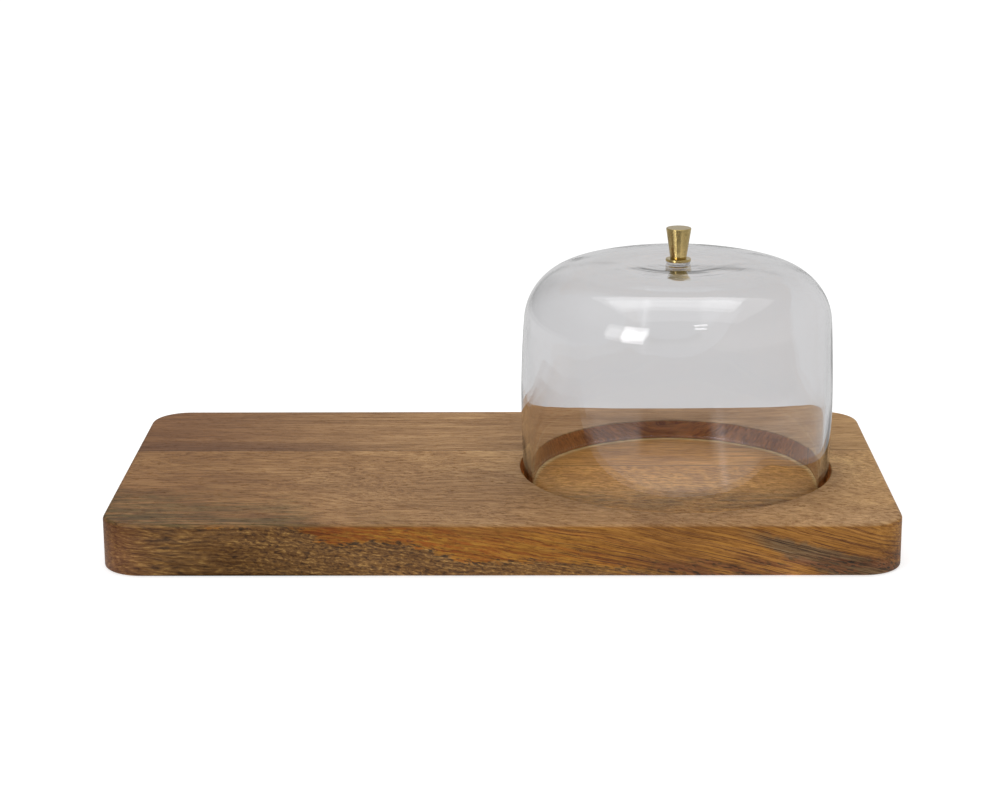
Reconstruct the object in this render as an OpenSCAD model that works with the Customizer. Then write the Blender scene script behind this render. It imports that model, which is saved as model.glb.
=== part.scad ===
// Cheese dome: a long hardwood serving board with a round recess near one end,
// and a blown glass dome that stands in the recess and lifts off by a brass knob.
// Millimetres, +Z up. The origin is the centre of the board's underside.

/* [Board] */
// Length of the board, along X
board_l = 450; // [430:1:600]
// Width of the board, along Y
board_w = 235; // [225:1:320]
// Thickness of the board
board_t = 30; // [22:1:45]
// Radius of the board's corners, seen from above
corner_r = 23; // [10:1:40]
// Radius of the eased edge around the top face
top_ease = 2.5; // [1:0.5:4]
// Radius of the eased edge around the underside
bottom_ease = 1.5; // [0.5:0.5:4]
// Distance of the glue line between the two planks behind the board's centre line
glue_y = 28; // [0:1:60]

/* [Recess] */
// Radius of the round recess that the dome stands in
recess_r = 92.8; // [92.3:0.1:96]
// Depth of the recess
recess_depth = 11; // [5:1:14]
// Distance of the recess centre from the board's centre, towards the right-hand end
recess_x = 103; // [90:1:110]
// Distance of the recess centre from the board's centre line
recess_y = -3; // [-8:1:8]

/* [Glass dome] */
// Largest outer radius of the dome
dome_r = 91.9; // [88:0.1:92]
// Thickness of the glass
glass_t = 3; // [2:0.25:4]
// Radius of the slight barrel curve up the wall
barrel_r = 820; // [600:10:1500]
// Height of the widest place above the rim
belly_h = 50; // [45:1:60]
// Angle that the wall's curve turns through above the widest place
belly_angle = 3.6; // [3:0.1:5]
// Radius of the rounded shoulder
shoulder_r = 34; // [28:1:40]
// Angle from level at which the shoulder passes into the crown
crown_angle = 73.8; // [70:0.1:76]
// Radius of the gently domed crown
crown_r = 143; // [130:1:150]
// Angle from level at which the crown starts to level out
level_angle = 78; // [77:0.5:82]
// Radius of the curve over which the crown levels out to its highest ring
ridge_curve_r = 66; // [50:1:90]
// Depth of the shallow dish inside the highest ring
dish_depth = 1.5; // [0.5:0.1:2.5]
// Radius of the flat seat at the bottom of the dish
seat_r = 8; // [7.8:0.1:10]
// Radius of the hole for the knob's screw
hole_r = 4; // [3.5:0.1:4.5]

/* [Knob and its fixing] */
// Height of the flared knob
knob_h = 18.2; // [15:0.1:30]
// Radius of the knob's flared top
knob_top_r = 7.4; // [6:0.1:10]
// Radius of the knob's waist, where it meets the foot
knob_waist_r = 4.7; // [4:0.1:6]
// Width of the bevel around the knob's top face
knob_bevel = 0.4; // [0.2:0.1:1]
// Radius of the flat foot under the knob
foot_r = 7.4; // [6:0.1:7.6]
// Thickness of the foot
foot_t = 1.5; // [1:0.1:3]
// Radius of the clear soft seals on both faces of the glass
seal_r = 5.8; // [5:0.1:6.5]
// Thickness of each seal
seal_t = 1.2; // [0.8:0.1:2]
// Radius of the washer inside the dome
washer_r = 5.7; // [5:0.1:7]
// Thickness of the washer inside the dome
washer_t = 1; // [0.8:0.1:1.5]
// Radius of the screw's shank, thread included
screw_r = 2; // [1.5:0.1:2]
// Radius of the screw's pan head
head_r = 3.8; // [3.5:0.1:4.5]
// Height of the screw's pan head
head_h = 2.2; // [1.8:0.1:3]
// Depth of the tapped hole in the knob
tap_depth = 9; // [6:1:12]

/* [Hidden] */
$fn = 96;

arc_steps = 12;     // straight steps in the shoulder and in each arc of the dish
short_steps = 6;    // straight steps in the short arcs of the crown and the ridge
barrel_steps = 8;   // straight steps up the nearly straight wall
overlap = 1;        // how far a cutting shape passes a face
rest_gap = 0.1;     // air under the rim, so that rim and recess floor never overlap
fit = 0.05;         // radial play of the screw and the bush
slot_w = 1;         // width of each arm of the screw's cross slot
slot_depth = 1.2;   // depth of the screw's cross slot
head_crown = 0.7;   // how far the screw head's edge is rounded off
tip_gap = 1;        // room left beyond the screw's tip

// Heights above the underside of the board
floor_z = board_t - recess_depth;
rim_z = floor_z + rest_gap;
belly_z = rim_z + belly_h;

// The wall, shoulder, crown and ridge are arcs that run on into each other. Each centre is [radius, height].
belly_c = [dome_r - barrel_r, belly_z];
function from(centre, r, a) = centre + r * [cos(a), sin(a)];
shoulder_c = from(belly_c, barrel_r - shoulder_r, belly_angle);
crown_c = from(shoulder_c, shoulder_r - crown_r, crown_angle);
ridge_c = from(crown_c, crown_r - ridge_curve_r, level_angle);
ridge_r = ridge_c[0];
ridge_z = ridge_c[1] + ridge_curve_r;

// The dish is two equal and opposite arcs, level at the ridge and at the seat.
dish_angle = 2 * atan(dish_depth / (ridge_r - seat_r));
dish_r = (ridge_r - seat_r) / (2 * sin(dish_angle));
dish_out_c = [ridge_r, ridge_z - dish_r];
dish_in_c = [seat_r, ridge_z - dish_depth + dish_r];
rim_angle = asin((rim_z + glass_t / 2 - belly_z) / barrel_r);
rim_c = from(belly_c, barrel_r - glass_t / 2, rim_angle);

// The stack on the dome's axis, from the glass seat upwards and downwards
seat_z = ridge_z - dish_depth;
foot_z = seat_z + seal_t;
knob_z = foot_z + foot_t;
under_glass_z = seat_z - glass_t;
washer_z = under_glass_z - seal_t - washer_t;
screw_tip_z = knob_z + tap_depth - tip_gap;

brass = [0.72, 0.58, 0.30];
clear_rubber = [0.85, 0.87, 0.86, 0.6];

// Points of an arc of radius r, from angle a0 to angle a1
function arc(centre, r, a0, a1, steps) =
    [for (i = [0 : steps]) from(centre, r, a0 + (a1 - a0) * i / steps)];

// One side of the glass from the rim to the seat, set in from the outer face by inset
function glass_side(inset) = concat(
    arc(belly_c, barrel_r - inset, rim_angle, belly_angle, barrel_steps),
    arc(shoulder_c, shoulder_r - inset, belly_angle, crown_angle, arc_steps),
    arc(crown_c, crown_r - inset, crown_angle, level_angle, short_steps),
    arc(ridge_c, ridge_curve_r - inset, level_angle, 90, short_steps),
    arc(dish_out_c, dish_r - inset, 90, 90 + dish_angle, arc_steps),
    arc(dish_in_c, dish_r + inset, dish_angle - 90, -90, arc_steps)
);

function reversed(list) = [for (i = [len(list) - 1 : -1 : 0]) list[i]];

module at_dome_axis(z) {
    translate([recess_x, recess_y, z]) children();
}

// Upright section of the board, w wide, with its four arrises eased by true arcs
module eased_section(w) {
    translate([-w / 2, bottom_ease]) square([w, board_t - bottom_ease - top_ease]);
    translate([-w / 2 + bottom_ease, 0]) square([w - 2 * bottom_ease, board_t / 2]);
    translate([-w / 2 + top_ease, board_t / 2]) square([w - 2 * top_ease, board_t / 2]);
    for (side = [-1, 1]) {
        translate([side * (w / 2 - top_ease), board_t - top_ease]) circle(top_ease);
        translate([side * (w / 2 - bottom_ease), bottom_ease]) circle(bottom_ease);
    }
}

// The whole board before it is parted at the glue line
module board_blank() {
    rotate([90, 0, 90])
        linear_extrude(board_l - 2 * corner_r, center = true) eased_section(board_w);
    rotate([90, 0, 0])
        linear_extrude(board_w - 2 * corner_r, center = true) eased_section(board_l);
    for (x = [-1, 1], y = [-1, 1])
        translate([x * (board_l / 2 - corner_r), y * (board_w / 2 - corner_r), 0])
            rotate_extrude() intersection() {
                eased_section(2 * corner_r);
                square([corner_r, board_t]);
            }
}

// The part of the board between two values of Y, with its share of the recess
module plank(y0, y1) {
    difference() {
        intersection() {
            board_blank();
            translate([-board_l, y0, -overlap])
                cube([2 * board_l, y1 - y0, board_t + 2 * overlap]);
        }
        at_dome_axis(floor_z) cylinder(r = recess_r, h = recess_depth + overlap);
    }
}

// Flat ring, t thick
module ring(outer, inner, t) {
    difference() {
        cylinder(r = outer, h = t);
        translate([0, 0, -overlap]) cylinder(r = inner, h = t + 2 * overlap);
    }
}

module front_plank() {
    color([0.55, 0.37, 0.22]) plank(-board_w, glue_y);
}

module rear_plank() {
    color([0.45, 0.30, 0.19]) plank(glue_y, board_w);
}

module glass_dome() {
    color([0.86, 0.90, 0.91, 0.35]) at_dome_axis(0) difference() {
        rotate_extrude() {
            polygon(concat(
                glass_side(0), [[0, seat_z], [0, under_glass_z]], reversed(glass_side(glass_t))
            ));
            translate(rim_c) circle(glass_t / 2);
        }
        translate([0, 0, under_glass_z - overlap]) cylinder(r = hole_r, h = glass_t + 2 * overlap);
    }
}

module knob() {
    color(brass) at_dome_axis(knob_z) difference() {
        rotate_extrude() polygon([
            [0, 0],
            [knob_waist_r, 0],
            [knob_top_r, knob_h - knob_bevel],
            [knob_top_r - knob_bevel, knob_h],
            [0, knob_h]
        ]);
        translate([0, 0, -overlap]) cylinder(r = screw_r, h = tap_depth + overlap);
    }
}

module knob_foot() {
    color(brass) at_dome_axis(foot_z) ring(foot_r, screw_r + fit, foot_t);
}

module upper_seal() {
    color(clear_rubber) at_dome_axis(seat_z) ring(seal_r, screw_r + fit, seal_t);
}

// Clear sleeve that keeps the screw off the edge of the glass hole
module hole_bush() {
    color(clear_rubber) at_dome_axis(under_glass_z) ring(hole_r - fit, screw_r + fit, glass_t);
}

module lower_seal() {
    color(clear_rubber) at_dome_axis(under_glass_z - seal_t) ring(seal_r, screw_r + fit, seal_t);
}

module inner_washer() {
    color(brass) at_dome_axis(washer_z) ring(washer_r, screw_r + fit, washer_t);
}

module screw() {
    color(brass) at_dome_axis(washer_z) difference() {
        union() {
            cylinder(r = screw_r - fit, h = screw_tip_z - washer_z);
            translate([0, 0, -head_h]) rotate_extrude() polygon([
                [0, 0],
                [head_r - head_crown, 0],
                [head_r, head_crown],
                [head_r, head_h],
                [0, head_h]
            ]);
        }
        for (turn = [0, 90])
            rotate(turn)
                translate([-screw_r, -slot_w / 2, -head_h - overlap])
                    cube([2 * screw_r, slot_w, slot_depth + overlap]);
    }
}

front_plank();
rear_plank();
glass_dome();
knob();
knob_foot();
upper_seal();
hole_bush();
lower_seal();
inner_washer();
screw();
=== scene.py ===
"""Cheese dome: an oiled mango-wood board with a blown glass dome on it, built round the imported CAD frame.

Metres, +Z up. Every piece lies where the CAD node that it stands for lies.
"""

import math

import bmesh
import bpy
from mathutils import Matrix, Vector


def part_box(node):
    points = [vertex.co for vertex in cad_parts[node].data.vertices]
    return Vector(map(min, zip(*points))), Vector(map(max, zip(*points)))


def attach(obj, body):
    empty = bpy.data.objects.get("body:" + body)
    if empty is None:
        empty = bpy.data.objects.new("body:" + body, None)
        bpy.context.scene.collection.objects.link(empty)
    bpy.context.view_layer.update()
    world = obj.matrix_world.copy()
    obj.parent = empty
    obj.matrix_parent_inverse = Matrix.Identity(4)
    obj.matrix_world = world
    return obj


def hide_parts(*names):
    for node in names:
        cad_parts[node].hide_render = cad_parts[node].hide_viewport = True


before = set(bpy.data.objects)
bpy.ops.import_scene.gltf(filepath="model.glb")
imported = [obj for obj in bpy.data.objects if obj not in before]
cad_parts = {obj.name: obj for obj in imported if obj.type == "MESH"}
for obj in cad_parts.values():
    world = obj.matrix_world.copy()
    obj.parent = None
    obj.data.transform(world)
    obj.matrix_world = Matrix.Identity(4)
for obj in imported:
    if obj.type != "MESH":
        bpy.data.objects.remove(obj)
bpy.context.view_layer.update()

MM = 0.001
TINY = 1e-7

# ---------------------------------------------------------------- places, from the frame
FRONT_LOW, FRONT_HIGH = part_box("front_plank")
REAR_LOW, REAR_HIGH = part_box("rear_plank")
DOME_LOW, DOME_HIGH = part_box("glass_dome")
KNOB_LOW, KNOB_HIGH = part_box("knob")
FOOT_LOW, FOOT_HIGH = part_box("knob_foot")
WASHER_LOW, WASHER_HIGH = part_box("inner_washer")
SCREW_LOW, SCREW_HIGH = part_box("screw")

BOARD_L = FRONT_HIGH.x - FRONT_LOW.x
BOARD_W = REAR_HIGH.y - FRONT_LOW.y
BOARD_T = FRONT_HIGH.z
GLUE_Y = REAR_LOW.y
AXIS_X = (DOME_LOW.x + DOME_HIGH.x) / 2
AXIS_Y = (DOME_LOW.y + DOME_HIGH.y) / 2
DOME_R = (DOME_HIGH.x - DOME_LOW.x) / 2
KNOB_R = (KNOB_HIGH.x - KNOB_LOW.x) / 2
FOOT_R = (FOOT_HIGH.x - FOOT_LOW.x) / 2
WASHER_R = (WASHER_HIGH.x - WASHER_LOW.x) / 2
HEAD_R = (SCREW_HIGH.x - SCREW_LOW.x) / 2

# ---------------------------------------------------------------- shapes that a box can't give
CORNER_R = 23 * MM
TOP_EASE = 2.5 * MM
BOTTOM_EASE = 1.5 * MM
RECESS_R = 92.8 * MM
RECESS_DEPTH = 11 * MM
RECESS_LIP = 0.7 * MM
RECESS_FILLET = 1.2 * MM
FLOOR_Z = BOARD_T - RECESS_DEPTH

GLASS_T = 3 * MM
BARREL_R = 820 * MM
BELLY_Z = DOME_LOW.z + 50 * MM
BELLY_ANGLE = 3.6
SHOULDER_R = 34 * MM
CROWN_ANGLE = 73.8
CROWN_R = 143 * MM
LEVEL_ANGLE = 78
RIDGE_CURVE_R = 66 * MM
DISH_DEPTH = 1.5 * MM
SEAT_R = 8 * MM
HOLE_R = 4 * MM

# How far the blown glass strays from a perfect form.
RIPPLE_REACH = 34 * MM
RIPPLE_PITCH = 9 * MM
RIPPLE_START = 10 * MM
RIPPLE_BLEND = 3 * MM
RIPPLE_HEIGHT = 0.025 * MM
WALL_TAPER = 1.0 * MM
WALL_LEAN = 0.25 * MM
WALL_WAVE = 0.08 * MM

# The knob and its screw. HEAD_CROWN and SLOT_REACH are shares of the head's height and radius.
KNOB_WAIST_R = 4.7 * MM
KNOB_BEVEL = 0.35 * MM
TAP_DEPTH = 9 * MM
DRILL_POINT = 1.2 * MM
SCREW_R = 2 * MM
PLAY = 0.05 * MM
THREAD_PITCH = 0.7 * MM
THREAD_DEPTH = 0.22 * MM
THREAD_START = 1.2 * MM
THREAD_END = 0.8 * MM
TIP_CHAMFER = 0.4 * MM
HEAD_CROWN = 0.55
SLOT_REACH = 0.55
SLOT_W = 1.0 * MM
SLOT_DEPTH = 1.2 * MM


# ================================================================ meshes
def new_object(name, bm):
    """A linked object from a bmesh, with its faces turned outwards."""
    bmesh.ops.recalc_face_normals(bm, faces=bm.faces)
    mesh = bpy.data.meshes.new(name)
    bm.to_mesh(mesh)
    bm.free()
    obj = bpy.data.objects.new(name, mesh)
    bpy.context.scene.collection.objects.link(obj)
    return obj


def smooth(obj, sharp_degrees):
    """Smooth shading that keeps real edges crisp and big flat faces flat."""
    mesh = obj.data
    mesh.shade_smooth()
    mesh.set_sharp_from_angle(angle=math.radians(sharp_degrees))
    weighted = obj.modifiers.new("weighted", "WEIGHTED_NORMAL")
    weighted.keep_sharp = True
    weighted.weight = 100
    return obj


def on_circle(centre, radius, degrees):
    """The point of a circle at an angle."""
    a = math.radians(degrees)
    return (centre[0] + radius * math.cos(a), centre[1] + radius * math.sin(a))


def arc(centre, radius, start, end, steps):
    """Points on an arc, angles in degrees."""
    return [on_circle(centre, radius, start + (end - start) * i / steps) for i in range(steps + 1)]


def quarter_turn(steps):
    """Angles from 0 to a right angle, in radians."""
    return [math.radians(90 * i / steps) for i in range(steps + 1)]


def without_repeats(points):
    """The points in order, without any that lies on the one before it."""
    kept = []
    for p in points:
        if not kept or math.dist(p, kept[-1]) > TINY:
            kept.append(p)
    return kept


def lathe_ring(bm, r, z, around, shift):
    """The vertices that one point of an outline becomes: a single one on the axis, else a ring of them."""
    if r < TINY:
        return [bm.verts.new((AXIS_X, AXIS_Y, z))]
    ring = []
    for k in range(around):
        a = 2 * math.pi * k / around
        rr, zz = shift(r, z, a) if shift else (r, z)
        ring.append(bm.verts.new((AXIS_X + rr * math.cos(a), AXIS_Y + rr * math.sin(a), zz)))
    return ring


def bridge(bm, low, high):
    """Faces between two rings, or between a ring and a single vertex."""
    count = max(len(low), len(high))
    if count == 1:
        return
    for k in range(count):
        n = (k + 1) % count
        if len(low) == 1:
            bm.faces.new((low[0], high[n], high[k]))
        elif len(high) == 1:
            bm.faces.new((low[k], low[n], high[0]))
        else:
            bm.faces.new((low[k], low[n], high[n], high[k]))


def lathe(name, outline, around, shift=None):
    """Turns a closed outline of (r, z) round the dome's axis. shift(r, z, angle) may nudge each point."""
    bm = bmesh.new()
    rings = [lathe_ring(bm, r, z, around, shift) for r, z in without_repeats(outline)]
    pairs = list(zip(rings, rings[1:]))
    if len(rings[0]) > 1 and len(rings[-1]) > 1:
        pairs.append((rings[-1], rings[0]))
    for low, high in pairs:
        bridge(bm, low, high)
    return new_object(name, bm)


def between(a, b, distance):
    """The point at a distance from a on the way to b."""
    share = distance / math.dist(a, b)
    return [a[k] + (b[k] - a[k]) * share for k in (0, 1)]


def softened(points, radius, steps=5):
    """The closed outline with each corner off the axis rounded by a curve of about that radius."""
    out = []
    for i, p in enumerate(points):
        before, after = points[i - 1], points[(i + 1) % len(points)]
        if p[0] < TINY:
            out.append(p)
            continue
        start = between(p, before, min(radius, math.dist(p, before) * 0.45))
        end = between(p, after, min(radius, math.dist(p, after) * 0.45))
        for s in range(steps + 1):
            t = s / steps
            out.append(tuple(
                (1 - t) ** 2 * start[k] + 2 * t * (1 - t) * p[k] + t ** 2 * end[k] for k in (0, 1)
            ))
    return out


# ---------------------------------------------------------------- the board
def board_outline(inset, steps=14):
    """Plan outline of the board, set in from its edge."""
    half_l, half_w = BOARD_L / 2 - CORNER_R, BOARD_W / 2 - CORNER_R
    points = []
    for quarter, (sx, sy) in enumerate([(1, 1), (-1, 1), (-1, -1), (1, -1)]):
        centre = (sx * half_l, sy * half_w)
        points += arc(centre, CORNER_R - inset, 90 * quarter, 90 * quarter + 90, steps)
    return points


def board_blank():
    """The whole board as one closed solid with eased arrises."""
    quarter = quarter_turn(8)
    levels = [(BOTTOM_EASE * (1 - math.sin(a)), BOTTOM_EASE * (1 - math.cos(a))) for a in quarter]
    levels += [(TOP_EASE * (1 - math.cos(a)), BOARD_T - TOP_EASE * (1 - math.sin(a))) for a in quarter]
    bm = bmesh.new()
    rings = [[bm.verts.new((x, y, z)) for x, y in board_outline(inset)] for inset, z in levels]
    for low, high in zip(rings, rings[1:]):
        bridge(bm, low, high)
    bm.faces.new(rings[0])
    bm.faces.new(rings[-1])
    return new_object("blank", bm)


def recess_cutter():
    """The router's path: a round pocket with a small fillet at its floor and a broken edge at its mouth."""
    above = BOARD_T + 5 * MM
    fillet = arc((RECESS_R - RECESS_FILLET, FLOOR_Z + RECESS_FILLET), RECESS_FILLET, -90, 0, 5)
    lip = arc((RECESS_R + RECESS_LIP, BOARD_T - RECESS_LIP), RECESS_LIP, 180, 90, 5)
    outline = [(0, FLOOR_Z), *fillet, *lip, (RECESS_R + RECESS_LIP, above), (0, above)]
    return lathe("recess_cutter", outline, around=256)


def block(low, high):
    """A box between two corners."""
    bm = bmesh.new()
    bmesh.ops.create_cube(bm, size=1)
    size, middle = Vector(high) - Vector(low), (Vector(high) + Vector(low)) / 2
    bmesh.ops.transform(bm, matrix=Matrix.Translation(middle) @ Matrix.Diagonal((*size, 1)), verts=bm.verts)
    return new_object("block", bm)


def cut(obj, tool, operation):
    """Cuts the object with the tool, and then removes the tool."""
    mod = obj.modifiers.new("cut", "BOOLEAN")
    mod.operation = operation
    mod.solver = "EXACT"
    mod.object = tool
    graph = bpy.context.evaluated_depsgraph_get()
    mesh = bpy.data.meshes.new_from_object(obj.evaluated_get(graph))
    obj.modifiers.clear()
    obj.data = mesh
    bpy.data.objects.remove(tool)


def plank(name, y0, y1):
    """One plank of the board, with its share of the recess."""
    board = board_blank()
    cut(board, block((-BOARD_L, y0, -BOARD_T), (BOARD_L, y1, 2 * BOARD_T)), "INTERSECT")
    cut(board, recess_cutter(), "DIFFERENCE")
    board.name = board.data.name = name
    return smooth(board, 40)


# ---------------------------------------------------------------- the glass
# The wall, shoulder, crown and ridge are arcs that run on into each other.
BELLY_C = (DOME_R - BARREL_R, BELLY_Z)
SHOULDER_C = on_circle(BELLY_C, BARREL_R - SHOULDER_R, BELLY_ANGLE)
CROWN_C = on_circle(SHOULDER_C, SHOULDER_R - CROWN_R, CROWN_ANGLE)
RIDGE_C = on_circle(CROWN_C, CROWN_R - RIDGE_CURVE_R, LEVEL_ANGLE)
RIDGE_R, RIDGE_Z = RIDGE_C[0], RIDGE_C[1] + RIDGE_CURVE_R
DISH_ANGLE = math.degrees(2 * math.atan(DISH_DEPTH / (RIDGE_R - SEAT_R)))
DISH_R = (RIDGE_R - SEAT_R) / (2 * math.sin(math.radians(DISH_ANGLE)))
SEAT_Z = RIDGE_Z - DISH_DEPTH
RIM_ANGLE = math.degrees(math.asin((DOME_LOW.z + GLASS_T / 2 - BELLY_Z) / BARREL_R))
WALL_H = SHOULDER_C[1] - DOME_LOW.z


def glass_side(inset):
    """One face of the glass from the rim to the edge of the hole."""
    dish_out = (RIDGE_R, RIDGE_Z - DISH_R)
    dish_in = (SEAT_R, SEAT_Z + DISH_R)
    return [
        *arc(BELLY_C, BARREL_R - inset, RIM_ANGLE, BELLY_ANGLE, 36),
        *arc(SHOULDER_C, SHOULDER_R - inset, BELLY_ANGLE, CROWN_ANGLE, 36),
        *arc(CROWN_C, CROWN_R - inset, CROWN_ANGLE, LEVEL_ANGLE, 16),
        *arc(RIDGE_C, RIDGE_CURVE_R - inset, LEVEL_ANGLE, 90, 20),
        *arc(dish_out, DISH_R - inset, 90, 90 + DISH_ANGLE, 36),
        *arc(dish_in, DISH_R + inset, DISH_ANGLE - 90, -90, 24),
        (HOLE_R, SEAT_Z - inset),
    ]


def ripple(r):
    """Depth of the faint rings in the crown, which die out at the seat and at their reach."""
    fade = max(0.0, min(1.0, (r - SEAT_R) / RIPPLE_BLEND)) * (1 - r / RIPPLE_REACH) ** 0.5
    return RIPPLE_HEIGHT * fade * (math.sin(2 * math.pi * (r - RIPPLE_START) / RIPPLE_PITCH) - 1)


def blown(r, z, angle):
    """Where a point of a perfect dome lies when blown: faint rings in the crown, and a wall out of round."""
    if r <= RIPPLE_REACH:
        return r, z + ripple(r)
    height = (z - DOME_LOW.z) / (RIDGE_Z - DOME_LOW.z)
    lean = WALL_LEAN * math.sin(math.pi * height) * math.cos(2 * angle + 0.6)
    wave = WALL_WAVE * math.sin(5 * angle + 9 * height)
    return r + (lean + wave) * min(1.0, r / DOME_R), z


def thicker(z):
    """How much thicker than average the wall is at a height: most at the rim, least below the shoulder."""
    up = (z - DOME_LOW.z) / WALL_H
    if up < 1:
        return WALL_TAPER * (1 - 2 * up)
    return -WALL_TAPER * max(0.0, 1 - (up - 1) * WALL_H / SHOULDER_R)


def dome_piece():
    """The blown dome. Its outer face is the CAD dome's; the wall's taper is all on the inside."""
    outer = glass_side(0)
    inner = [(r - thicker(z), z) if r > SHOULDER_C[0] else (r, z) for r, z in glass_side(GLASS_T)]
    rim_t = GLASS_T + thicker(DOME_LOW.z)
    rim = (outer[0][0] - rim_t / 2, DOME_LOW.z + rim_t / 2)
    above_rim = rim[1] + 0.1 * MM
    keep_out = [p for p in outer if p[1] > above_rim]
    keep_in = [p for p in inner if p[1] > above_rim]
    outline = [*reversed(keep_in), *arc(rim, rim_t / 2, 180, 360, 20), *keep_out]
    return smooth(lathe("glass_dome_blown", outline, around=256, shift=blown), 60)


# ---------------------------------------------------------------- the knob and its fixing
def ring_outline(inner, outer, low, high):
    return [(inner, low), (outer, low), (outer, high), (inner, high)]


def with_flank(outline, flank):
    """The outline with points added along its longest straight, so that the long face shades evenly."""
    gaps = [math.dist(a, b) for a, b in zip(outline, outline[1:])]
    longest = max(gap for gap, p in zip(gaps, outline) if p[0] > SCREW_R * 1.5)
    at = gaps.index(longest) + 1
    return [*outline[:at], *flank, *outline[at:]]


def knob_piece():
    """A flared turned knob, with a crisp but broken top edge and a blind tapped hole."""
    z0, z1 = KNOB_LOW.z, KNOB_HIGH.z
    bevel_z = z1 - KNOB_BEVEL
    outside = softened([
        (SCREW_R, z0), (KNOB_WAIST_R, z0), (KNOB_R, bevel_z), (KNOB_R - KNOB_BEVEL, z1), (0, z1),
    ], 0.25 * MM)
    top_middle = outside.index((0, z1))
    flare, rise = KNOB_R - KNOB_WAIST_R, bevel_z - z0
    flank = [(KNOB_WAIST_R + flare * t, z0 + rise * t) for t in (0.25, 0.5, 0.75)]
    hole = [(0, z0 + TAP_DEPTH + DRILL_POINT), (SCREW_R, z0 + TAP_DEPTH)]
    outline = with_flank([*outside[: top_middle + 1], *hole], flank)
    return smooth(lathe("knob_turned", outline, around=160), 45)


def foot_piece():
    """The flat foot disc, with its edges broken."""
    outline = softened(ring_outline(SCREW_R + PLAY, FOOT_R, FOOT_LOW.z, FOOT_HIGH.z), 0.3 * MM)
    return smooth(lathe("knob_foot_turned", outline, around=160), 45)


def washer_piece():
    """The pressed washer inside the dome."""
    outline = softened(ring_outline(SCREW_R + PLAY, WASHER_R, WASHER_LOW.z, WASHER_HIGH.z), 0.2 * MM)
    return smooth(lathe("inner_washer_pressed", outline, around=128), 45)


def seal_piece(node, name, bulge, spread=0.0):
    """A soft ring with a bulging outer edge, which spreads past its CAD radius by spread."""
    low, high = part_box(node)
    outer, middle = (high.x - low.x) / 2 + spread, (low.z + high.z) / 2
    half = (high.z - low.z) / 2
    edge = [(outer - bulge + bulge * c, middle + half * s) for c, s in arc((0, 0), 1, -90, 90, 12)]
    outline = [(SCREW_R + PLAY, low.z), *edge, (SCREW_R + PLAY, high.z)]
    return smooth(lathe(name, outline, around=96), 50)


def thread_outline(shank_r, low, high):
    """Crests and roots of a rolled thread between two heights."""
    points = []
    for k in range(int((high - low - THREAD_START - THREAD_END) / THREAD_PITCH)):
        crest_z = low + THREAD_START + k * THREAD_PITCH
        points += [(shank_r, crest_z), (shank_r - THREAD_DEPTH, crest_z + THREAD_PITCH / 2)]
    return points


def cut_cross_slot(body, z0):
    """Two crossing slots in the screw's head."""
    half_l = HEAD_R * SLOT_REACH
    for turn in (0, 90):
        arm = block((-half_l, -SLOT_W / 2, z0 - 2 * MM), (half_l, SLOT_W / 2, z0 + SLOT_DEPTH))
        turned = Matrix.Rotation(math.radians(turn), 4, "Z")
        arm.matrix_world = Matrix.Translation((AXIS_X, AXIS_Y, 0)) @ turned
        bpy.context.view_layer.update()
        cut(body, arm, "DIFFERENCE")


def screw_piece():
    """Pan head screw from inside the dome, with a cross slot and a thread of plain rings."""
    z0, z1 = SCREW_LOW.z, SCREW_HIGH.z
    head_top = WASHER_LOW.z
    crown_h = (head_top - z0) * HEAD_CROWN
    crown = [(HEAD_R * math.sin(a), z0 + crown_h * (1 - math.cos(a))) for a in quarter_turn(12)]
    shank_r = SCREW_R - PLAY
    thread = thread_outline(shank_r, head_top, z1)
    tip = [(shank_r, z1 - TIP_CHAMFER), (shank_r - TIP_CHAMFER, z1), (0, z1)]
    outline = [*crown, (HEAD_R, head_top), (shank_r, head_top), *thread, *tip]
    body = lathe("screw_threaded", outline, around=96)
    cut_cross_slot(body, z0)
    return smooth(body, 35)


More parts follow.
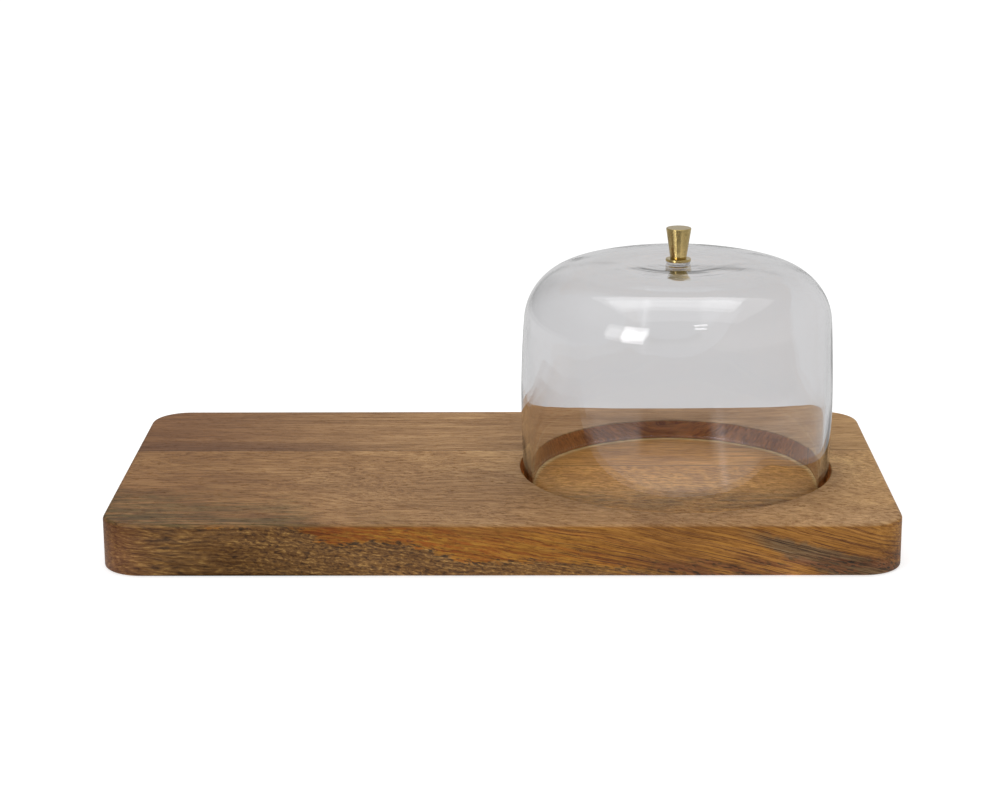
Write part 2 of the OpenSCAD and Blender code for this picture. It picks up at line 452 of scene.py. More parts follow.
# ================================================================ materials
class Graph:
    """A short way to write nodes. Values may be numbers, tuples or sockets."""

    def __init__(self, tree, coordinates):
        self.tree = tree
        tree.nodes.clear()
        self.place = tree.nodes.new("ShaderNodeTexCoord").outputs[coordinates]
        self.x, self.y, self.z = self.node("SeparateXYZ", Vector=self.place).outputs

    def node(self, kind, **inputs):
        made = self.tree.nodes.new("ShaderNode" + kind)
        for key, value in inputs.items():
            self.feed(made.inputs[key.replace("_", " ")], value)
        return made

    def feed(self, socket, value):
        if isinstance(value, bpy.types.NodeSocket):
            self.tree.links.new(value, socket)
        else:
            socket.default_value = value

    def calc(self, operation, *values):
        made = self.tree.nodes.new("ShaderNodeMath")
        made.operation = operation
        for socket, value in zip(made.inputs, values):
            self.feed(socket, value)
        return made.outputs[0]

    def add(self, *terms):
        total = terms[0]
        for term in terms[1:]:
            total = self.calc("ADD", total, term)
        return total

    def times(self, *factors):
        product = factors[0]
        for factor in factors[1:]:
            product = self.calc("MULTIPLY", product, factor)
        return product

    def minus(self, a, b):
        return self.calc("SUBTRACT", a, b)

    def plan_distance(self, x0, y0):
        """Distance from the upright line through (x0, y0)."""
        dx, dy = self.minus(self.x, x0), self.minus(self.y, y0)
        return self.calc("SQRT", self.add(self.times(dx, dx), self.times(dy, dy)))

    def vector(self, x, y, z):
        return self.node("CombineXYZ", X=x, Y=y, Z=z).outputs[0]

    def stretched(self, sx, sy, sz, offset=(0, 0, 0)):
        """The place with each direction scaled, which sets how long a pattern runs."""
        made = self.node("Mapping", Vector=self.place, Scale=(sx, sy, sz), Location=offset)
        return made.outputs[0]

    def noise(self, vector, detail, roughness=0.5, distortion=0.0):
        made = self.node("TexNoise", Vector=vector, Scale=1.0, Detail=detail, Roughness=roughness,
                         Distortion=distortion)
        return made.outputs["Fac"]

    def span(self, value, low, high, to_low=0.0, to_high=1.0):
        """A smooth step from to_low, where the value is low, to to_high, where it is high."""
        made = self.tree.nodes.new("ShaderNodeMapRange")
        made.interpolation_type, made.clamp = "SMOOTHSTEP", True
        for socket, v in zip(made.inputs, (value, low, high, to_low, to_high)):
            self.feed(socket, v)
        return made.outputs[0]

    def hump(self, value, centre, half_width):
        """1 at centre, falling to 0 half_width away on either side."""
        away = self.calc("ABSOLUTE", self.minus(value, centre))
        return self.span(away, 0.0, half_width, 1.0, 0.0)

    def ramp(self, factor, stops):
        made = self.node("ValToRGB", Fac=factor)
        elements = made.color_ramp.elements
        while len(elements) < len(stops):
            elements.new(0.5)
        for element, (at, colour) in zip(elements, stops):
            element.position, element.color = at, (*colour, 1)
        return made.outputs[0]

    def mix(self, factor, a, b, mode="MIX"):
        made = self.tree.nodes.new("ShaderNodeMix")
        made.data_type, made.blend_type = "RGBA", mode
        colour_inputs = [s for s in made.inputs if s.type == "RGBA"]
        self.feed(made.inputs[0], factor)
        for socket, value in zip(colour_inputs, (a, b)):
            self.feed(socket, (*value, 1) if isinstance(value, tuple) else value)
        return next(s for s in made.outputs if s.type == "RGBA")

    def bump(self, height, distance, strength):
        return self.node("Bump", Height=height, Distance=distance, Strength=strength).outputs[0]

    def two_shaders(self, kind, *values):
        """A MixShader (factor, a, b) or an AddShader (a, b)."""
        made = self.tree.nodes.new("ShaderNode" + kind)
        for socket, value in zip(made.inputs, values):
            self.feed(socket, value)
        return made.outputs[0]

    def finish(self, kind, surface):
        """Makes the shader the output of a Material or a World."""
        out = self.tree.nodes.new("ShaderNodeOutput" + kind)
        self.feed(out.inputs["Surface"], surface)


class MaterialGraph(Graph):
    """The nodes of a new material, in Object coordinates."""

    def __init__(self, name):
        self.material = bpy.data.materials.new(name)
        self.material.use_nodes = True
        super().__init__(self.material.node_tree, "Object")

    def principled(self, **inputs):
        self.finish("Material", self.node("BsdfPrincipled", **inputs).outputs[0])
        return self.material


def srgb(r, g, b):
    """An 8-bit sRGB colour as linear values."""
    def linear(c):
        c /= 255
        return c / 12.92 if c <= 0.04045 else ((c + 0.055) / 1.055) ** 2.4
    return (linear(r), linear(g), linear(b))


# ---------------------------------------------------------------- wood
# Painted shade: the top at the left is darker than at the right, for light that falls off to the left.
PAINTED_SHADE_TOP_LEFT = srgb(130, 94, 56)
CLEAR_TOP = srgb(157, 121, 80)
PALE_TOP = srgb(178, 139, 89)
# Painted shade: the rear plank's top at the left, darker for light that falls off to the left.
PAINTED_SHADE_REAR_LEFT = srgb(121, 84, 50)
REAR_BAND = srgb(98, 65, 40)
REAR_SIDE = srgb(134, 86, 44)
SIDE_GOLD = srgb(158, 108, 48)
ORANGE = srgb(140, 76, 20)
YELLOW = srgb(158, 108, 36)
RED_BROWN = srgb(118, 72, 42)
DARK_LINE = srgb(88, 52, 28)
GLUE = srgb(52, 36, 26)
ZONE_BLACK = srgb(46, 38, 28)
GREY_BROWN = srgb(112, 90, 64)
GREY_GREEN = srgb(86, 69, 36)
SPALT_DARK = srgb(62, 44, 28)
SPALT_DULL = srgb(104, 73, 42)
SPALT_BROWN = srgb(128, 92, 50)
SPALT_PALE = srgb(172, 132, 74)
PAINTED_RIM_GLINT = srgb(240, 208, 144)
# The routed floor and wall: paler fresh-cut wood, brightened further with painted light against the shade in
# the recess under the glass.
FRESH_CUT_AND_PAINTED_LIGHT = srgb(202, 150, 84)
FRESH_GOLD_AND_PAINTED_LIGHT = srgb(205, 147, 74)
RECESS_WALL_AND_PAINTED_LIGHT = srgb(190, 116, 50)
UNCHANGED = (1, 1, 1)

# Where the figure lies: X and Y from the middle of the board, and distances through the growth layers.
# Each dip of the border is its X, half its width and its depth. RISE and WIDENS are slopes along X.
SWIRL_X, SWIRL_Y, SWIRL_R = -48 * MM, -59 * MM, 50 * MM
BORDER_LAYER = 10.5 * MM
BORDER_RISE = 0.09
BORDER_DIPS = [(-92 * MM, 24 * MM, 6 * MM), (-18 * MM, 34 * MM, 5 * MM), (-124 * MM, 20 * MM, -2 * MM)]
VEIN_TOP = 55 * MM
VEIN_START_X = 110 * MM
VEIN_WIDENS = 0.18
MOTTLE_Y, MOTTLE_HALF = -40 * MM, 36 * MM
# A pale ring on the recess floor under the glass rim: a painted highlight for the glint of the rim's bottom
# edge.
PAINTED_RIM_GLINT_R, PAINTED_RIM_GLINT_HALF = 87.2 * MM, 3.4 * MM


def tint(g, colour, amount, dark, light):
    """The colour multiplied by dark where the amount is 0, and by light where it is 1."""
    return g.mix(1.0, colour, g.mix(amount, dark, light), "MULTIPLY")


def along_layers(g, layer, along, across, through, detail=4.0, roughness=0.55, distortion=0.0):
    """A pattern drawn out along the grain, which follows the growth layers. Each scale is per metre."""
    where = g.vector(g.times(g.x, along), g.times(g.y, across), g.times(layer, through))
    return g.noise(where, detail, roughness, distortion)


def wood_grain(g, layer, colour):
    """Soft clouds, fine threads and short open pores over a colour. Gives the threads and pores too."""
    clouds = along_layers(g, layer, 14, 26, 60, detail=4, roughness=0.55)
    threads = along_layers(g, layer, 32, 330, 820, detail=6, roughness=0.74)
    flecks = along_layers(g, layer, 150, 620, 1300, detail=3, roughness=0.7)
    colour = tint(g, colour, g.span(clouds, 0.36, 0.64), (0.88, 0.85, 0.82), (1.09, 1.10, 1.12))
    colour = tint(g, colour, g.span(threads, 0.36, 0.64), (0.68, 0.60, 0.48), (1.26, 1.32, 1.42))
    pores = g.span(flecks, 0.455, 0.36)
    return tint(g, colour, pores, UNCHANGED, (0.70, 0.65, 0.60)), threads, pores


def finish_wood(g, colour, threads, pores):
    """Oiled satin surface with open pores and a fine dark glue line."""
    glue = g.hump(g.y, GLUE_Y, 0.9 * MM)
    height = g.add(g.times(threads, 0.4), g.times(pores, -1.0), g.times(glue, -1.5))
    return g.principled(
        Base_Color=g.mix(g.times(glue, 0.6), colour, GLUE),
        Roughness=g.add(0.44, g.times(threads, 0.14), g.times(pores, 0.2)),
        Normal=g.bump(height, 0.10 * MM, 0.6),
        IOR=1.5,
        Specular_IOR_Level=0.22)


def below_top(g):
    """0 on the top face, which is duller, and 1 on the sides, which are more golden."""
    return g.span(g.z, BOARD_T - 0.5 * MM, BOARD_T - 2.0 * MM)


def recess_wood(g, layer, base):
    """Routed wood: a golden floor, grey mottled in front, with a painted highlight ring under the glass rim,
    and a red-brown wall; the floor and the wall carry painted light against the shade in the recess.
    """
    out = g.plan_distance(AXIS_X, AXIS_Y)
    below = g.span(g.z, BOARD_T - 0.4 * MM, BOARD_T - 0.9 * MM)
    inside = g.times(g.span(out, RECESS_R + RECESS_LIP, RECESS_R + 0.1 * MM), below)
    blotches = g.span(along_layers(g, layer, 40, 240, 200, detail=6, roughness=0.7), 0.42, 0.56)
    mottle = g.times(g.hump(g.y, MOTTLE_Y, MOTTLE_HALF), g.add(0.35, g.times(blotches, 0.65)))
    to_gold = g.span(g.add(g.y, g.times(blotches, 12 * MM)), -20 * MM, 50 * MM)
    # The floor's colours hold painted light against the shade under the glass.
    floor = g.mix(to_gold, FRESH_CUT_AND_PAINTED_LIGHT, FRESH_GOLD_AND_PAINTED_LIGHT)
    floor = g.mix(g.times(mottle, 0.75), floor, GREY_BROWN)
    # Painted highlight: the pale ring under the glass rim.
    floor = g.mix(g.times(g.hump(out, PAINTED_RIM_GLINT_R, PAINTED_RIM_GLINT_HALF), 0.95), floor, PAINTED_RIM_GLINT)
    # The wall's colour is brightened with painted light against the shade in the recess.
    wall = g.span(g.z, FLOOR_Z + 0.4 * MM, FLOOR_Z + 1.4 * MM)
    return g.mix(inside, base, g.mix(wall, floor, RECESS_WALL_AND_PAINTED_LIGHT))


# ---------------------------------------------------------------- the front plank's figure
def front_layers(g):
    """Distance through the growth layers. They dip to the right, more steeply further along."""
    from_front = g.minus(g.y, FRONT_LOW.y)
    plane = g.add(g.z, g.times(g.x, 0.16), g.times(g.x, g.x, 0.25), g.times(from_front, 0.2))
    drift = g.minus(g.noise(g.stretched(11, 20, 24, offset=(1.7, 0.3, 5.1)), detail=3), 0.5)
    drift_h = g.span(g.x, -50 * MM, 100 * MM, 16 * MM, 7 * MM)
    swirl = g.span(g.plan_distance(SWIRL_X, SWIRL_Y), 0.0, SWIRL_R, 1.0, 0.0)
    return g.add(plane, g.times(drift, drift_h), g.times(swirl, 7 * MM))


def above_border(g, layer, fringe):
    """How far a point lies above the ragged border of the spalted wood, which dips along the front."""
    dips = g.add(*[g.times(g.hump(g.x, at, half), depth) for at, half, depth in BORDER_DIPS])
    rise = g.times(g.calc("MAXIMUM", g.x, 0.0), BORDER_RISE)
    return g.minus(g.add(layer, dips, g.times(fringe, 14 * MM)), g.add(rise, BORDER_LAYER))


def front_base(g, layer, on_side):
    """Darker at the left of the top, as painted shade for light that falls off to the left, and clearer at
    the right; painted light in a band towards the glue line and in front of the dome, against the shade of
    the glass; golden on the sides.
    """
    base = g.mix(g.span(g.x, -200 * MM, 30 * MM), PAINTED_SHADE_TOP_LEFT, CLEAR_TOP)
    pale = g.times(g.span(g.x, 160 * MM, 210 * MM), g.span(g.y, -110 * MM, -70 * MM))
    base = g.mix(g.times(pale, 0.8), base, PALE_TOP)
    # Painted light: a lighter band towards the glue line, making up for light that the glass dome holds
    # back.
    painted_light_band = g.span(g.y, GLUE_Y - 62 * MM, GLUE_Y - 14 * MM)
    base = tint(g, base, painted_light_band, UNCHANGED, (1.18, 1.20, 1.18))
    # Painted light: the top in front of the dome is lightened against the shadow that the glass casts there.
    painted_light_before_dome = g.times(g.hump(g.x, AXIS_X, 130 * MM), g.span(g.y, AXIS_Y, FRONT_LOW.y + 20 * MM))
    base = tint(g, base, painted_light_before_dome, UNCHANGED, (1.20, 1.20, 1.24))
    base = g.mix(on_side, base, SIDE_GOLD)
    bands = along_layers(g, layer, 5, 5, 230, detail=5, roughness=0.6)
    return tint(g, base, g.span(bands, 0.38, 0.62), (0.90, 0.86, 0.81), (1.07, 1.08, 1.08))


def golden_sheet(g, layer, above, on_side, base):
    """The bright honey-coloured wood just above the border, from the left to below the dome."""
    sheet = g.times(g.span(above, -0.5 * MM, 1.5 * MM), g.span(above, 26 * MM, 8 * MM))
    sheet = g.times(sheet, g.span(g.x, 110 * MM, 30 * MM), g.add(0.10, g.times(on_side, 0.9)))
    short = along_layers(g, layer, 90, 200, 620, detail=5, roughness=0.72)
    long = along_layers(g, layer, 30, 30, 700, detail=5, roughness=0.72)
    honey = g.mix(g.span(g.x, -30 * MM, 40 * MM), short, long)
    base = g.mix(sheet, base, g.mix(g.span(honey, 0.42, 0.58), ORANGE, YELLOW))
    crumbs = g.span(along_layers(g, layer, 260, 500, 1500, detail=3, roughness=0.6), 0.44, 0.36)
    return g.mix(g.times(crumbs, sheet, 0.6), base, DARK_LINE)


def spalted_wood(g, layer, above, on_side, base):
    """The dark flecked wood below the border, streaky at the far left and redder at the corner."""
    streaks = along_layers(g, layer, 130, 420, 700, detail=4, roughness=0.62)
    curls = along_layers(g, layer, 300, 520, 720, detail=4, roughness=0.62, distortion=0.6)
    fleck = g.mix(g.span(g.x, -190 * MM, -130 * MM), streaks, curls)
    spalt = g.ramp(fleck, [(0.34, SPALT_DARK), (0.45, SPALT_DULL), (0.55, SPALT_BROWN), (0.68, SPALT_PALE)])
    amount = g.times(g.span(above, 0.6 * MM, -1.0 * MM), g.add(0.30, g.times(on_side, 0.65)))
    base = g.mix(amount, base, spalt)
    far_left = g.times(g.span(g.x, -185 * MM, -222 * MM), on_side)
    return g.mix(g.times(far_left, 0.55), base, RED_BROWN)


def grey_wisps(g, above, on_side, base):
    """Grey wisps beyond the border, on the top face."""
    wisps = g.noise(g.stretched(17, 250, 300, offset=(0, 0, 4)), detail=4, roughness=0.6, distortion=0.4)
    reach = g.times(g.span(above, 17 * MM, 0 * MM), g.minus(1.0, on_side))
    reach = g.times(reach, g.add(0.2, g.times(g.span(wisps, 0.42, 0.54), 0.8)))
    return g.mix(g.times(reach, 0.9), base, GREY_GREEN)


def black_border(g, above, specks, on_side, base):
    """Black specks along the border."""
    border = g.times(g.hump(above, 0.2 * MM, 3.2 * MM), g.add(0.25, g.times(on_side, 0.65)))
    return g.mix(g.times(border, specks), base, ZONE_BLACK)


def right_streaks(g, lines, on_side, base):
    """Thin dark and yellow lines in the golden wood, at the right of the front."""
    right_front = g.times(g.span(g.x, -20 * MM, 50 * MM), on_side)
    base = g.mix(g.times(g.span(lines, 0.47, 0.40), right_front, 0.95), base, DARK_LINE)
    return g.mix(g.times(g.span(lines, 0.52, 0.58), right_front, 0.7), base, YELLOW)


def grey_vein(g, layer, fringe, lines, on_side, base):
    """The grey vein at the right of the front, which widens to the right."""
    edge = g.add(layer, g.times(fringe, 10 * MM))
    low = g.minus(VEIN_TOP - 1 * MM, g.times(g.minus(g.x, VEIN_START_X), VEIN_WIDENS))
    vein = g.times(g.span(edge, g.minus(low, 3 * MM), low), g.span(edge, VEIN_TOP, VEIN_TOP - 3 * MM))
    vein = g.times(vein, g.span(g.x, 125 * MM, 155 * MM), g.add(0.2, g.times(on_side, 0.8)))
    return g.mix(g.times(vein, 0.85), base, g.mix(g.span(lines, 0.53, 0.43), GREY_BROWN, ZONE_BLACK))


def stained_foot(g, layer, specks, on_side, base):
    """Dark patches low on the front, at the right."""
    patches = g.span(along_layers(g, layer, 26, 26, 190), 0.42, 0.56)
    foot = g.times(g.span(g.x, 50 * MM, 100 * MM), g.span(g.z, 15 * MM, 7 * MM), patches, on_side)
    return g.mix(g.times(foot, 0.8), base, g.mix(specks, RED_BROWN, ZONE_BLACK))


def front_wood():
    """Golden brown mango wood, divided by a bright golden sheet from dark spalted wood at the lower left."""
    g = MaterialGraph("front_plank_mango")
    layer = front_layers(g)
    on_side = below_top(g)
    fringe = g.minus(g.noise(g.stretched(120, 120, 240), detail=5, roughness=0.65), 0.5)
    above = above_border(g, layer, fringe)
    specks = g.span(along_layers(g, layer, 240, 500, 900, detail=3), 0.50, 0.60)
    lines = along_layers(g, layer, 20, 20, 1700, detail=4, roughness=0.78)
    base = front_base(g, layer, on_side)
    base = golden_sheet(g, layer, above, on_side, base)
    base = spalted_wood(g, layer, above, on_side, base)
    base = grey_wisps(g, above, on_side, base)
    base = black_border(g, above, specks, on_side, base)
    base = right_streaks(g, lines, on_side, base)
    base = grey_vein(g, layer, fringe, lines, on_side, base)
    base = stained_foot(g, layer, specks, on_side, base)
    base = recess_wood(g, layer, base)
    return finish_wood(g, *wood_grain(g, layer, base))


# ---------------------------------------------------------------- the rear plank's figure
def rear_wood():
    """Darker red-brown mango wood with nearly straight grain, darkest beside the glue line at the left."""
    g = MaterialGraph("rear_plank_mango")
    drift = g.minus(g.noise(g.stretched(6, 16, 30, offset=(4.0, 1.0, 2.0)), detail=3), 0.5)
    layer = g.add(g.times(g.y, 0.80), g.times(g.z, 0.55), g.times(drift, 18 * MM))
    # Painted shade: darker to the left, for light that falls off to the left.
    base = g.mix(g.span(g.x, -220 * MM, -30 * MM), PAINTED_SHADE_REAR_LEFT, CLEAR_TOP)
    bands = along_layers(g, layer, 4, 4, 130, detail=5, roughness=0.55)
    base = tint(g, base, g.span(bands, 0.38, 0.62), (0.84, 0.79, 0.73), (1.08, 1.08, 1.08))
    beside_glue = g.span(g.y, GLUE_Y + 24 * MM, GLUE_Y + 8 * MM)
    at_left = g.span(g.x, -40 * MM, -150 * MM)
    base = g.mix(g.times(beside_glue, at_left, 0.70), base, REAR_BAND)
    base = g.mix(g.times(g.span(g.x, 160 * MM, 210 * MM), 0.8), base, PALE_TOP)
    base = g.mix(below_top(g), base, REAR_SIDE)
    base = recess_wood(g, layer, base)
    return finish_wood(g, *wood_grain(g, layer, base))


# ---------------------------------------------------------------- glass, brass, silicone
BRASS = (0.56, 0.43, 0.185)


def clear_glass():
    """Clear blown glass: long soft swells in the surface, a breath of haze, and a ground rim."""
    g = MaterialGraph("clear_blown_glass")
    swell = g.noise(g.stretched(16, 16, 11), detail=2, roughness=0.4)
    haze = g.noise(g.stretched(40, 40, 30), detail=5, roughness=0.6)
    rim = g.span(g.z, DOME_LOW.z + 1.6 * MM, DOME_LOW.z + 0.8 * MM)
    return g.principled(
        Base_Color=(0.995, 0.992, 1.0, 1.0),
        Roughness=g.add(g.span(haze, 0.45, 0.75, 0.0, 0.008), g.times(rim, 0.12)),
        IOR=1.5,
        Transmission_Weight=1.0,
        Normal=g.bump(swell, 2.0 * MM, 0.5))


def turned_brass(name, fineness):
    """Turned brass. Fine grooves round the axis draw highlights out lengthwise, and tarnish darkens it."""
    g = MaterialGraph(name)
    radius = g.plan_distance(AXIS_X, AXIS_Y)
    across_grooves = g.vector(g.times(radius, fineness), 0.0, g.times(g.z, fineness))
    grooves = g.noise(across_grooves, detail=3, roughness=0.6)
    tarnish = g.noise(g.stretched(420, 420, 900), detail=5, roughness=0.7)
    colour = tint(g, BRASS, g.span(tarnish, 0.42, 0.66), (1.03, 1.03, 1.02), (0.92, 0.91, 0.88))
    colour = tint(g, colour, g.span(grooves, 0.35, 0.65), (0.90, 0.88, 0.84), (1.05, 1.05, 1.05))
    return g.principled(
        Base_Color=colour,
        Metallic=1.0,
        Roughness=g.add(0.15, g.times(grooves, 0.05), g.times(tarnish, 0.03)),
        Normal=g.bump(grooves, 0.006 * MM, 1.0))


def white_silicone():
    """Soft silicone, so cloudy that it looks white, with little light passing through."""
    g = MaterialGraph("clear_silicone")
    cloud = g.noise(g.stretched(500, 500, 500), detail=3)
    return g.principled(
        Base_Color=g.mix(cloud, (0.94, 0.94, 0.94), (0.99, 0.99, 0.98)),
        Roughness=g.span(cloud, 0.3, 0.7, 0.30, 0.45),
        IOR=1.41,
        Transmission_Weight=0.1,
        Normal=g.bump(cloud, 0.05 * MM, 0.3))


# ================================================================ putting the object together
def place(piece, body, node, material):
    """A finished piece in the place of its CAD node."""
    piece.data.materials.clear()
    piece.data.materials.append(material)
    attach(piece, body)
    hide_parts(node)


def build_board():
    place(plank("front_plank_wood", -BOARD_W, GLUE_Y), "board", "front_plank", front_wood())
    place(plank("rear_plank_wood", GLUE_Y, BOARD_W), "board", "rear_plank", rear_wood())


def build_dome():
    """The glass, and on it the knob, its foot, the washer and the screw, with soft rings in between."""
    place(dome_piece(), "dome", "glass_dome", clear_glass())
    place(knob_piece(), "dome", "knob", turned_brass("knob_brass", 9000))
    place(foot_piece(), "dome", "knob_foot", turned_brass("foot_brass", 7000))
    place(washer_piece(), "dome", "inner_washer", turned_brass("washer_brass", 5000))
    place(screw_piece(), "dome", "screw", turned_brass("screw_brass", 8000))
    silicone = white_silicone()
    upper = seal_piece("upper_seal", "upper_seal_soft", bulge=0.5 * MM, spread=1.2 * MM)
    lower = seal_piece("lower_seal", "lower_seal_soft", bulge=0.5 * MM)
    bush = seal_piece("hole_bush", "hole_bush_soft", bulge=0.1 * MM)
    place(upper, "dome", "upper_seal", silicone)
    place(lower, "dome", "lower_seal", silicone)
    place(bush, "dome", "hole_bush", silicone)


# ================================================================ studio
def grey(value):
    return (value, value, value)


# The room, as glass, brass and wood see it.
BACKDROP = grey(0.63)
HIGH_BACK = grey(0.60)
FRONT_ROOM = grey(0.42)
DARK_SIDE = grey(0.30)
BRIGHT_SIDE = grey(0.66)
CEILING = grey(0.50)

# The floor in front of the dome, as glass, brass and wood see it: a glowing floor with painted light and
# painted shadow on it. Bearings are in degrees from straight in front, more to the right, and distances are
# from the dome's axis.
LEFT_FLOOR = grey(0.07)
RIGHT_FLOOR = grey(0.80)
LIT_FLOOR = grey(1.00)
LIT_BAND = grey(1.1)
PAINTED_SHADOW_PATCH = grey(0.08)
FAR_FLOOR = grey(0.42)
PAINTED_LIGHT_STRIPE = grey(1.9)
FAN_LEFT, FAN_RIGHT, FAN_SOFT = -58, 48, 5
PATCH_LEFT, PATCH_RIGHT, PATCH_SOFT = -26, 20, 3
STRIPE_AT, STRIPE_HALF = 26, 4
BAND_AT, BAND_HALF = 350 * MM, 55 * MM
PATCH_START, PATCH_FULL = 275 * MM, 300 * MM
FAR_START, FAR_FULL = 360 * MM, 410 * MM
STRIPE_FULL, STRIPE_END = 370 * MM, 420 * MM

# The floor as the camera sees it, and its size and place.
PAPER = grey(0.55)
PAPER_LIFT = 0.62
FLOOR_WHITE = 1.1
PAPER_EDGE, WHITE_EDGE = 300 * MM, 750 * MM
FLOOR_HALF = 6
FLOOR_GAP = 0.2 * MM


def white_paper(g):
    """What the camera sees: paper with a soft shadow near the object, and plain white further out."""
    paper = g.node("BsdfDiffuse", Color=(*PAPER, 1)).outputs[0]
    lift = g.node("Emission", Color=(1, 1, 1, 1), Strength=PAPER_LIFT).outputs[0]
    white = g.node("Emission", Color=(1, 1, 1, 1), Strength=FLOOR_WHITE).outputs[0]
    outwards = g.span(g.plan_distance(0.0, 0.0), PAPER_EDGE, WHITE_EDGE)
    return g.two_shaders("MixShader", outwards, g.two_shaders("AddShader", paper, lift), white)


def across(g, turn, left, right, soft):
    """1 between two bearings from the dome, in degrees, falling to 0 outside them."""
    rising = g.span(turn, math.radians(left - soft), math.radians(left + soft))
    falling = g.span(turn, math.radians(right + soft), math.radians(right - soft))
    return g.times(rising, falling)


def grey_floor(g):
    """What everything else sees: a glowing floor with a painted pool of light in front of the dome, a
    painted shadow patch, a painted light band and a painted light stripe.
    """
    turn = g.calc("ARCTAN2", g.minus(g.x, AXIS_X), g.minus(AXIS_Y, g.y))
    reach = g.plan_distance(AXIS_X, AXIS_Y)
    unlit = g.mix(g.span(turn, 0.0, 0.5), LEFT_FLOOR, RIGHT_FLOOR)
    front = g.mix(across(g, turn, FAN_LEFT, FAN_RIGHT, FAN_SOFT), unlit, LIT_FLOOR)
    front = g.mix(g.hump(reach, BAND_AT, BAND_HALF), front, LIT_BAND)
    patch = across(g, turn, PATCH_LEFT, PATCH_RIGHT, PATCH_SOFT)
    # Painted shadow: a dark patch on the glowing floor.
    front = g.mix(g.times(patch, g.span(reach, PATCH_START, PATCH_FULL)), front, PAINTED_SHADOW_PATCH)
    front = g.mix(g.span(reach, FAR_START, FAR_FULL), front, FAR_FLOOR)
    stripe = g.hump(turn, math.radians(STRIPE_AT), math.radians(STRIPE_HALF))
    stripe = g.times(stripe, g.span(reach, STRIPE_END, STRIPE_FULL))
    # Painted light: a stripe on the floor, brighter than white.
    front = g.mix(g.times(stripe, 0.8), front, PAINTED_LIGHT_STRIPE)
    colour = g.mix(g.span(g.y, 0.05, -0.12), BACKDROP, front)
    return g.node("Emission", Color=colour, Strength=1.0).outputs[0]


def by_camera_ray(g, for_others, for_camera):
    """One shader for what the camera sees directly, and another for reflections, glass and light."""
    direct = g.node("LightPath").outputs["Is Camera Ray"]
    return g.two_shaders("MixShader", direct, for_others, for_camera)


def studio_floor():
    """A pale floor just under the board."""
    bm = bmesh.new()
    bmesh.ops.create_grid(bm, x_segments=8, y_segments=8, size=FLOOR_HALF)
    floor = new_object("floor", bm)
    floor.location.z = -FLOOR_GAP
    g = MaterialGraph("floor_paper")
    g.finish("Material", by_camera_ray(g, grey_floor(g), white_paper(g)))
    floor.data.materials.append(g.material)


def room_world():
    """A grey room, darker in front and on the left and bright on the right. The camera sees it white."""
    world = bpy.data.worlds.new("room")
    bpy.context.scene.world = world
    world.use_nodes = True
    g = Graph(world.node_tree, "Generated")
    back = g.mix(g.span(g.z, 0.05, 0.16), BACKDROP, HIGH_BACK)
    walls = g.mix(g.span(g.y, 0.0, -0.5), back, FRONT_ROOM)
    walls = g.mix(g.span(g.x, 0.3, 0.6), walls, BRIGHT_SIDE)
    walls = g.mix(g.span(g.x, -0.10, -0.42), walls, DARK_SIDE)
    glow = g.mix(g.span(g.z, 0.30, 0.75), walls, CEILING)
    room = g.node("Background", Color=glow).outputs[0]
    white = g.node("Background", Color=(1, 1, 1, 1)).outputs[0]
    g.finish("World", by_camera_ray(g, room, white))


CROWN_MIDDLE = Vector((AXIS_X, AXIS_Y, RIDGE_Z))
STRAIGHT_DOWN = Vector((0, 0, -1))
SOFTBOX_HEIGHT = 1.2


def area_light(name, place_at, aim_at, width, depth, radiance):
    """A soft light whose face has the given brightness, where white paper in the picture is about 1."""
    data = bpy.data.lights.new(name, "AREA")
    data.shape, data.size, data.size_y = "RECTANGLE", width, depth
    data.energy = radiance * math.pi * width * depth
    lamp = bpy.data.objects.new(name, data)
    lamp.location = place_at
    lamp.rotation_euler = (aim_at - place_at).to_track_quat("-Z", "Y").to_euler()
    bpy.context.scene.collection.objects.link(lamp)
    return lamp


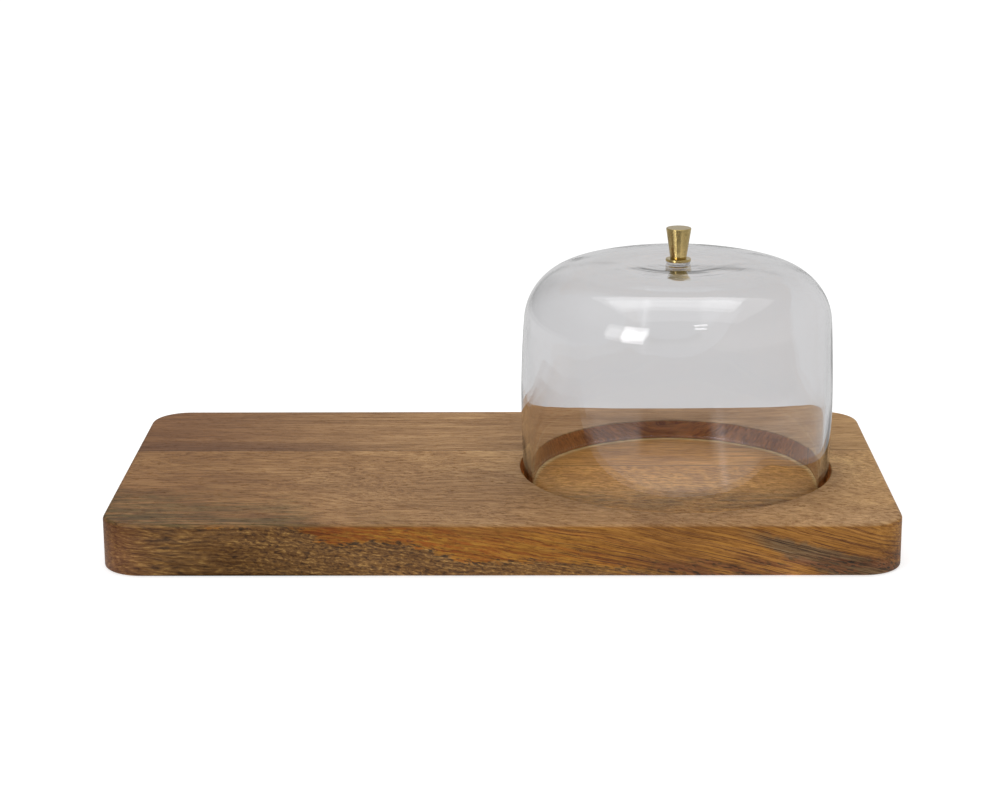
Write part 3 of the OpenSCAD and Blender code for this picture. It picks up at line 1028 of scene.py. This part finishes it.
def towards(azimuth, elevation, distance):
    """A point seen from the middle of the crown: azimuth 0 is the back, 90 the right, 180 the camera."""
    a, e = math.radians(azimuth), math.radians(elevation)
    way = Vector((math.sin(a) * math.cos(e), math.cos(a) * math.cos(e), math.sin(e)))
    return CROWN_MIDDLE + way * distance


def studio_lights():
    """Soft light from above, and three lights that the glass mirrors: two windows and a ceiling strip."""
    box_at = CROWN_MIDDLE + Vector((-0.01, 0.165, 1.0)) * SOFTBOX_HEIGHT
    box_w, box_d = 1.06 * SOFTBOX_HEIGHT, 0.49 * SOFTBOX_HEIGHT
    area_light("overhead_softbox", box_at, box_at + STRAIGHT_DOWN, box_w, box_d, radiance=1.38)
    fill_at = Vector((0.3, 0.1, 1.7))
    fill = area_light("ceiling_bounce", fill_at, fill_at + STRAIGHT_DOWN, 2.2, 1.8, radiance=0.95)
    fill.visible_glossy = False
    area_light("front_left_window", towards(-143, 26, 1.7), CROWN_MIDDLE, 0.50, 0.70, radiance=5.5)
    area_light("window_blind", towards(-131, 26, 1.7), CROWN_MIDDLE, 0.62, 0.62, radiance=2.0)
    area_light("ceiling_strip", towards(163, 46, 2.2), CROWN_MIDDLE, 0.38, 0.12, radiance=8.0)


CAMERA_AT = (0.01269, -1.40266, 0.45451)
CAMERA_PITCH = math.radians(15.343)
CAMERA_YAW = -0.0103
CAMERA_ROLL = -0.0045
SENSOR_W = 36.0
LENS = 87.82


def photo_camera():
    """A long lens that looks down on the board, with a slight yaw and roll."""
    data = bpy.data.cameras.new("photo_camera")
    data.sensor_width = SENSOR_W
    data.lens = LENS
    data.clip_start, data.clip_end = 0.05, 50
    camera = bpy.data.objects.new("photo_camera", data)
    turn = (Matrix.Rotation(-CAMERA_YAW, 4, "Z") @ Matrix.Rotation(math.pi / 2 - CAMERA_PITCH, 4, "X")
            @ Matrix.Rotation(CAMERA_ROLL, 4, "Z"))
    camera.matrix_world = Matrix.Translation(CAMERA_AT) @ turn
    bpy.context.scene.collection.objects.link(camera)
    bpy.context.scene.camera = camera


def main():
    build_board()
    build_dome()
    studio_floor()
    room_world()
    studio_lights()
    photo_camera()
    bpy.context.scene.view_settings.view_transform = "Standard"


main()
